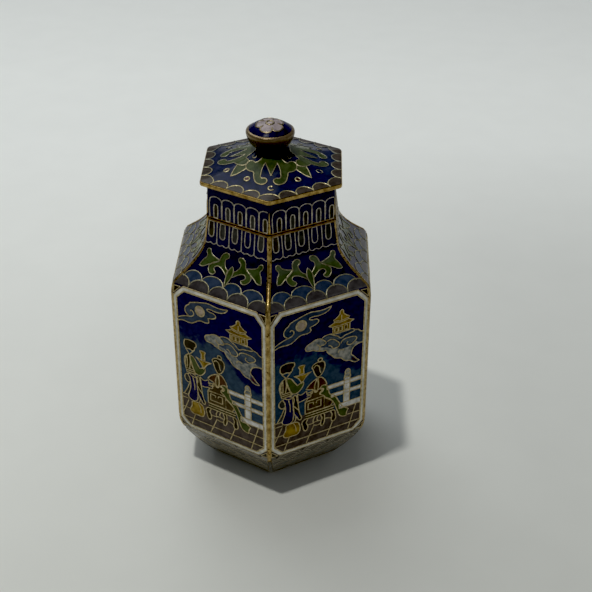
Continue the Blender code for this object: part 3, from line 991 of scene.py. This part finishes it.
def stool(drawing):
    drawing.walled("brown", TOP, [(-4.15, 29.9, S), (1.8, 29.9, S), (1.8, 34.1, S), (-4.15, 34.1, S)])
    drawing.walled("brown", TOP, [
        (1.8, 30.5, S), (3.4, 31.7), (4.4, 32.6, S), (4.3, 33.4), (3.7, 34.1, S), (1.8, 34.1, S),
    ])
    drawing.wire([
        (-1.6, 31.5, S), (-1.55, 30.9, S), (-3.2, 30.7, S), (-3.3, 32.9, S), (0.75, 32.9, S),
        (0.75, 30.7, S), (-0.5, 30.7, S), (-0.75, 31.4, S),
    ])
    drawing.cell("olive", TOP, box(-4.0, 34.1, 4.9, 35.9))
    for height in (34.2, 35.05, 35.9):
        drawing.wire([(-4.0, height, S), (4.9, height, S)], radius=0.17)
    legs = (
        [
            (-4.4, 36.0), (-5.1, 36.9), (-4.85, 38.1), (-4.5, 39.5), (-3.9, 40.0), (-3.35, 39.4),
            (-3.3, 38.3), (-3.75, 37.2), (-3.4, 36.0),
        ],
        [(0.9, 36.0), (1.2, 37.4), (0.8, 39.2), (1.2, 40.1), (1.8, 39.4), (2.0, 37.5), (1.7, 36.0)],
        [(4.1, 36.0), (4.4, 37.3), (4.25, 39.3), (4.85, 39.8), (5.5, 39.3), (5.45, 37.7), (4.95, 36.0)],
    )
    for leg in legs:
        drawing.walled("black", DETAIL, leg)
    for line in (
        [(-1.1, 36.0), (-1.6, 37.2), (-1.5, 38.3)],
        [(0.0, 36.0), (-0.4, 37.2), (0.1, 38.0)],
        [(-3.3, 38.2), (-1.9, 38.2), (-0.8, 37.9), (0.9, 38.1)],
        [(1.9, 37.9), (2.8, 38.0), (4.2, 38.5)],
        [(-1.6, 38.9), (-0.4, 39.3), (0.8, 39.2)],
    ):
        drawing.wire(line)


def panel_drawing():
    drawing = Drawing("panel")
    drawing.cell("sky", CELL - 0.01, box(-13.75, 0.0, 13.75, 45.1))
    for part in (paving, moon_and_clouds, pagoda, balustrade, attendant, seated_lady, stool):
        part(drawing)
    cuts = (0.5, 1.0, 1.6, 2.2, 43.4, 43.9, 44.4)
    drawing.lay_on_sides(BODY_SIDE, start=PANEL_START, cuts=cuts, drift=1.0)


# Overlapping wave scales under the panels, in base measures

SCALE_RADIUS = 4.0
SCALE_PITCH = 8.0
SCALE_DROP = 2.4
SCALE_SHIFT = (-0.3, 3.7)
FIRST_SCALE_FOOT = 5.6
INNER_SCALE_RADIUS = 2.9
SCALE_ROWS = 7
SCALE_WIRE_RADIUS = 0.075
BASE_HALF = 15.5
BASE_TAPER = 0.6
BASE_END = 17.9


def visible_from(radius):
    """The angle above the level at which a ring of a scale comes out from behind the scale below it."""
    reach = math.hypot(SCALE_PITCH / 2, SCALE_DROP)
    cosine = (radius**2 + reach**2 - SCALE_RADIUS**2) / (2 * radius * reach)
    turn = math.degrees(math.acos(min(cosine, 1.0)) - math.atan2(SCALE_DROP, SCALE_PITCH / 2))
    return max(turn, 0.0)


def base_drawing():
    drawing = Drawing("base", BASE_WIRE_BRASS, BASE_WIRE_LIFT)
    for row in range(SCALE_ROWS):
        foot = FIRST_SCALE_FOOT + row * SCALE_DROP
        shift = SCALE_SHIFT[row % 2]
        for column in range(-2, 3):
            middle = shift + column * SCALE_PITCH
            if abs(middle) > BASE_HALF - row * BASE_TAPER:
                continue
            for radius in (SCALE_RADIUS, INNER_SCALE_RADIUS):
                low = visible_from(radius)
                ring = ellipse((middle, foot), radius, radius, 180 - low, low, 6)
                drawing.wire(ring, radius=SCALE_WIRE_RADIUS)
    spike = [(-2.2, 1.4, S), (2.2, 1.4, S), (0.7, 2.1), (0, 3.3, S), (-0.7, 2.1)]
    for middle in (-12.3, -4.3, 3.7, 11.7):
        drawing.cell("black", CELL, moved(spike, middle))
    drawing.lay_on_sides(BODY_SIDE, start=BASE_START, cuts=(2.5, 3.3, 4.1), trim=True, end=BASE_END)


# Brass strips up the corners


def corner_piece(name, side, strip, heights, corners, glaze=None, taper=0.0):
    """A half-round strip of brass or enamel along one corner, copied to others."""
    radius, inset = strip
    foot, top = heights
    curve = new_curve(name, "3D", 1)
    curve.data.bevel_depth = radius * MM
    curve.data.bevel_resolution = 3
    curve.data.use_fill_caps = True
    rows = [row for row in side.rows[::4] if foot < row[2] <= top]
    spline = curve.data.splines.new("POLY")
    spline.points.add(len(rows) - 1)
    for point, (_, out, height) in zip(spline.points, rows):
        share = 1 - taper * (height - foot) / (top - foot)
        reach = (out / math.cos(HALF_SIDE) - inset * share) * MM
        point.co = (reach * math.cos(HALF_SIDE), reach * math.sin(HALF_SIDE), height * MM, 1)
        point.radius = share
    pick(curve)
    bpy.ops.object.convert(target="MESH")
    strips = []
    for index in corners:
        strip = twin(curve)
        strip.data.transform(Matrix.Rotation(SIDE_TURN * index, 4, "Z"))
        strips.append(strip)
    bpy.data.objects.remove(curve, do_unlink=True)
    piece = joined(name, strips)
    smoothed(piece)
    if glaze:
        enamelled(piece, glaze)
    else:
        owned(piece, STRIP_BRASS)


def corner_strips():
    """Brass strips sunk in the corners, the front one widest; below them the corners are enamelled."""
    every = range(SIDES)
    others = [index for index in every if index != FRONT_CORNER]
    body = (BODY_STRIP_FOOT, LIP)
    corner_piece("front_strip", BODY_SIDE, FRONT_STRIP, body, [FRONT_CORNER])
    corner_piece("corner_strips", BODY_SIDE, BODY_STRIP, body, others)
    collar = (COLLAR_FOOT, COLLAR_STRIP_TOP)
    corner_piece("collar_strips", COLLAR_SIDE, COLLAR_STRIP, collar, every, taper=COLLAR_STRIP_TAPER)
    base = (BODY_CORNER_FOOT, BODY_STRIP_FOOT + 0.3)
    corner_piece("base_corners", BODY_SIDE, ENAMELLED_CORNER, base, every, "base_grey")
    collar = (COLLAR_FOOT, COLLAR_TOP)
    corner_piece("collar_corners", COLLAR_SIDE, ENAMELLED_CORNER, collar, every, "cobalt")


# Roof of the lid, seen from above with the front corner down

ROOF_CORNER = 20.9
ROOF_EDGE_MARGIN = 0.2
ROOF_CORNER_CUT = 0.6
ROOF_CLUSTER_HALF = [
    (1.5, 6.3, S), (2.1, 7.5), (2.5, 9.5), (2.4, 11.1), (1.5, 11.4), (0.9, 12.1), (1.0, 13.0), (1.9, 13.5),
    (3.0, 13.1), (3.9, 12.0), (4.3, 10.0), (4.5, 8.7), (5.5, 8.1), (6.3, 7.2), (6.5, 5.9), (5.9, 4.9),
    (5.0, 4.9), (4.1, 5.7, S), (3.3, 5.4), (2.2, 4.3), (1.7, 3.6, S),
]
ROOF_LEAF_TIP = (0.1, 10.8, S)
ROOF_SLIM_LEAF = [
    (6.0, 6.0, S), (8.9, 5.0, S), (9.6, 6.9), (10.3, 9.1, S), (8.6, 8.5), (7.2, 7.6), (6.0, 6.9, S),
]
ROOF_SLIM_EDGE = [(8.9, 5.5), (9.6, 6.9), (10.3, 9.1, S), (8.6, 8.5), (7.2, 7.6), (6.35, 7.1)]
ROOF_CLUSTERS = ((0, 0.0), (96, 0.9), (180, 0.0), (264, 0.6))
ROOF_RINGS = (
    (6.9, 10.5), (-6.0, 10.8), (-11.5, 6.5), (0.3, -15.2), (6.9, -10.5), (-6.9, -10.5), (12.0, -7.9),
    (-12.0, -7.9),
)
ROOF_SCALE_REACH = 3.2
ROOF_SCALE_DEPTH = 2.5
ROOF_CORNER_SCALE_HALF = 2.77
ROOF_CUTS = (3.3, 4.8, 6.3, 8.3, 10.3, 13.0, 15.5)


def turned(line, degrees):
    """A drawn line turned about the middle of the lid, anticlockwise as seen from above."""
    cosine, sine = math.cos(math.radians(degrees)), math.sin(math.radians(degrees))
    return [
        (across * cosine + down * sine, -across * sine + down * cosine, *kind) for across, down, *kind in line
    ]


def roof_planes():
    """Cuts along the roof's ridges and round it, so that enamel follows the hollow slope."""
    planes = []
    for index in range(SIDES):
        angle = SIDE_TURN * index
        outward = Vector((math.cos(angle), math.sin(angle), 0))
        planes += [(outward * reach, outward) for reach in ROOF_CUTS]
        if index < SIDES // 2:
            ridge = angle + HALF_SIDE
            planes.append(((0, 0, 0), Vector((-math.sin(ridge), math.cos(ridge), 0))))
    return planes


def roof_outline():
    """Where the roof's enamel ends, just inside the rounded edge of the rim and its rounded corners."""
    inner = ROOF_CORNER - ROOF_EDGE_MARGIN / math.cos(HALF_SIDE)
    beside = ROOF_CORNER_CUT * math.cos(HALF_SIDE)
    below = inner - ROOF_CORNER_CUT * math.sin(HALF_SIDE)
    corner = [(beside, below, S), (0, below + 0.06, S), (-beside, below, S)]
    return inner, corner


def roof_edge_scales(drawing):
    """Scales along each edge of the roof, and a wider one round each corner."""
    inner, corner_end = roof_outline()
    half = inner / 2
    level = inner * math.cos(HALF_SIDE)
    width = (inner - 2 * ROOF_SCALE_REACH) / 3
    for index in range(SIDES):
        turn = 60 * index
        for place in range(3):
            left = -half + ROOF_SCALE_REACH + place * width
            scale = scallop(left, left + width, level, level - ROOF_SCALE_DEPTH)
            drawing.cell("mauve", DETAIL, turned(scale, turn + 30))
            drawing.wire(turned(scale, turn + 30))
        wide = ROOF_CORNER_SCALE_HALF
        foot = inner - wide * math.tan(HALF_SIDE)
        arch = [(-wide, foot, S), (-2.1, foot - 1.1), (0, foot - 1.65), (2.1, foot - 1.1), (wide, foot, S)]
        drawing.cell("mauve", DETAIL, turned(arch + corner_end, turn))
        drawing.wire(turned(arch, turn))


def roof_drawing():
    drawing = Drawing("roof", ROOF_WIRE_BRASS_WITH_PAINTED_SHADE)
    _, corner = roof_outline()
    outline = [point for index in range(SIDES) for point in turned(corner, 60 * index)]
    drawing.cell("roof_cobalt", GROUND, outline)
    cluster = [ROOF_LEAF_TIP] + ROOF_CLUSTER_HALF + mirrored(ROOF_CLUSTER_HALF[::-1])
    for turn, further in ROOF_CLUSTERS:
        drawing.walled("roof_leaf", DETAIL, turned(moved(cluster, 0.0, further), turn))
    slim = (ROOF_SLIM_LEAF, ROOF_SLIM_EDGE)
    for leaf, edge in (slim, map(mirrored, slim)):
        for turn in (0, 180):
            drawing.cell("roof_leaf", CELL, turned(leaf, turn))
            drawing.wire(turned(edge, turn))
    for place in ROOF_RINGS:
        drawing.cell("maroon", DETAIL, ellipse(place, 0.65, 0.65))
        drawing.wire(ellipse(place, 0.68, 0.68), closed=True, radius=0.19)
    # one ring is drawn open, one as two arcs, and two small curls stand beside the knob
    drawing.wire(ellipse((0.3, 15.2), 0.7, 0.7, 60, 330, 7), radius=0.2)
    for start in (100, 280):
        drawing.wire(ellipse((12.3, 5.9), 0.8, 0.8, start, start + 160, 4), radius=0.1)
    for hand in (1, -1):
        drawing.wire(ellipse((hand * 4.4, 3.6), 0.5, 0.5, 150, 390, 5), radius=0.13)
    roof_edge_scales(drawing)
    drawing.lay_from_above(LID, roof_planes())


# Knob: heights, radii, and the cup's outline from the bead down

KNOB_BEAD = 98.52
KNOB_DRIFT = -0.55
DOME_EDGE = 5.62
DOME_SPHERE = 8.63
DOME_TOP = 101.25
KNOB_CUP = [
    (5.93, 0.60), (6.17, 0.42), (6.30, 0.12), (6.31, -0.25), (6.22, -0.7), (6.08, -1.2), (5.82, -1.9),
    (5.48, -2.55), (5.05, -3.1), (4.52, -3.6), (4.0, -3.98), (3.5, -4.3), (0.0, -4.3),
]
KNOB_STEPS = 64
DOME_RADII = (0.0, 0.8, 1.6, 2.4, 3.2, 4.0, 4.8, DOME_EDGE)
DOME_ENAMEL = 5.55


def dome_height(radius):
    return DOME_TOP - DOME_SPHERE + math.sqrt(DOME_SPHERE**2 - radius**2)


def turned_knob():
    """The knob's metal, turned as one smooth cup under a low dome."""
    outline = [(radius, dome_height(radius)) for radius in DOME_RADII]
    outline += [(radius, KNOB_BEAD + up) for radius, up in KNOB_CUP]
    mesh = bpy.data.meshes.new("knob_turning")
    points = [Vector((radius, 0, height)) * MM for radius, height in outline]
    mesh.from_pydata(points, [(index, index + 1) for index in range(len(points) - 1)], [])
    piece = placed("knob_turning", mesh)
    pick(piece)
    bpy.ops.object.mode_set(mode="EDIT")
    bpy.ops.mesh.select_all(action="SELECT")
    bpy.ops.mesh.spin(steps=KNOB_STEPS, angle=2 * math.pi, center=(0, 0, 0), axis=(0, 0, 1))
    bpy.ops.mesh.select_all(action="SELECT")
    bpy.ops.mesh.remove_doubles(threshold=0.00001)
    bpy.ops.mesh.normals_make_consistent(inside=False)
    bpy.ops.object.mode_set(mode="OBJECT")
    smoothed(piece)
    piece.data.transform(Matrix.Translation((KNOB_DRIFT * MM, 0, 0)))
    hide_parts("lid_knob")
    owned(piece, KNOB_BRASS)
    return piece


# The flower on the knob; the first point of a petal is its notch, the others run round to the next.
FLOWER_MIDDLE = 1.0
FLOWER_TURN = -20
PETAL = [(-1.2, 1.65, S), (-1.6, 2.65), (-1.0, 3.4), (0.0, 3.6), (1.0, 3.4), (1.6, 2.65)]


def knob_flower(metal):
    drawing = Drawing("knob", FLOWER_WIRE_BRASS)
    drawing.cell("dome", GROUND, ellipse((KNOB_DRIFT, 0), DOME_ENAMEL, DOME_ENAMEL, count=12))
    petals = [point for index in range(5) for point in turned(PETAL, FLOWER_TURN + 72 * index)]
    flower = moved(petals, KNOB_DRIFT, FLOWER_MIDDLE)
    drawing.cell("pink", DETAIL, flower)
    drawing.wire(flower, closed=True, radius=0.2)
    drawing.wire(ellipse((KNOB_DRIFT, FLOWER_MIDDLE), 0.95, 0.95), closed=True, radius=0.28)
    lines = range(-5, 6)
    planes = [((place, 0, 0), (1, 0, 0)) for place in lines]
    planes += [((0, place, 0), (0, 1, 0)) for place in lines]
    drawing.lay_from_above(metal, planes)


# Floor, light and camera


def floor():
    bpy.ops.mesh.primitive_plane_add(size=6, location=(0, 0, 0))
    sheet = bpy.context.active_object
    sheet.name = "floor"
    sheet.data.materials.append(paper_with_painted_light("Plain paper").material)


LIGHT_AIM = Vector((0, 0, 0.04))
ROOM_COLOUR = (0.93, 0.97, 1.0, 1.0)
ROOM_STRENGTH = 0.162
BLACK_LEVEL = 0.018


def soft_light(name, place, size, power, colour):
    light = bpy.data.lights.new(name, "AREA")
    light.shape = "RECTANGLE"
    light.size, light.size_y = size
    light.energy = power
    light.color = colour
    lamp = placed(name, light)
    lamp.visible_camera = False
    lamp.location = place
    lamp.rotation_euler = (LIGHT_AIM - Vector(place)).to_track_quat("-Z", "Y").to_euler()


def lighting():
    world = bpy.data.worlds.new("Soft room")
    world.use_nodes = True
    background = world.node_tree.nodes["Background"]
    background.inputs["Color"].default_value = ROOM_COLOUR
    background.inputs["Strength"].default_value = ROOM_STRENGTH
    bpy.context.scene.world = world
    soft_light("Key", (-0.303, -0.235, 1.5), (0.09, 0.09), 8.3, (1.0, 0.99, 0.95))
    soft_light("Window", (-0.34, 0.77, 1.20), (0.9, 1.2), 6.8, (0.95, 0.99, 1.0))
    soft_light("Room", (0.82, -0.72, 0.45), (0.8, 0.6), 0.66, (0.96, 0.98, 1.0))
    soft_light("Pale wall", (0.1, 1.4, 0.25), (2.8, 0.5), 1.8, (0.97, 0.98, 1.0))
    view = bpy.context.scene.view_settings
    view.view_transform = "Standard"
    view.use_curve_mapping = True
    view.curve_mapping.black_level = (BLACK_LEVEL,) * 3


# The camera stands where the photo was taken; its distance is from the aim, and yaw turns it off the aim.
CAMERA_AIM = Vector((0, 0, 0.04831))
CAMERA_DISTANCE = 0.30809
CAMERA_ELEVATION = math.radians(32.586)
CAMERA_AZIMUTH = math.radians(2.816)
CAMERA_YAW = math.radians(1.174)
CAMERA_ROLL = math.radians(-0.400)
FOCAL_PIXELS = 1096.7
PHOTO_PIXELS = 592
SENSOR = 36


def photo_camera():
    data = bpy.data.cameras.new("Camera")
    data.sensor_width = SENSOR
    data.lens = FOCAL_PIXELS / PHOTO_PIXELS * SENSOR
    data.clip_start = 0.01
    camera = placed("Camera", data)
    level = math.cos(CAMERA_ELEVATION)
    rise = math.sin(CAMERA_ELEVATION)
    back = Vector((math.sin(CAMERA_AZIMUTH) * level, -math.cos(CAMERA_AZIMUTH) * level, rise))
    right = (-back).cross(Vector((0, 0, 1))).normalized()
    up = right.cross(-back)
    ahead = -back * math.cos(CAMERA_YAW) + right * math.sin(CAMERA_YAW)
    beside = right * math.cos(CAMERA_YAW) + back * math.sin(CAMERA_YAW)
    across = beside * math.cos(CAMERA_ROLL) + up * math.sin(CAMERA_ROLL)
    over = up * math.cos(CAMERA_ROLL) - beside * math.sin(CAMERA_ROLL)
    turn = Matrix((across, over, -ahead)).transposed().to_4x4()
    camera.matrix_world = Matrix.Translation(CAMERA_AIM + back * CAMERA_DISTANCE) @ turn
    bpy.context.scene.camera = camera


def build():
    metal = gilt_metal("Gilt copper")
    for node in (BODY, LID):
        node.data.materials.clear()
        node.data.materials.append(metal.material)
    grounds()
    collar_drawing()
    neck_drawing()
    shoulder_drawing()
    frame_drawing()
    panel_drawing()
    base_drawing()
    corner_strips()
    roof_drawing()
    knob_flower(turned_knob())
    floor()
    lighting()
    photo_camera()


build()
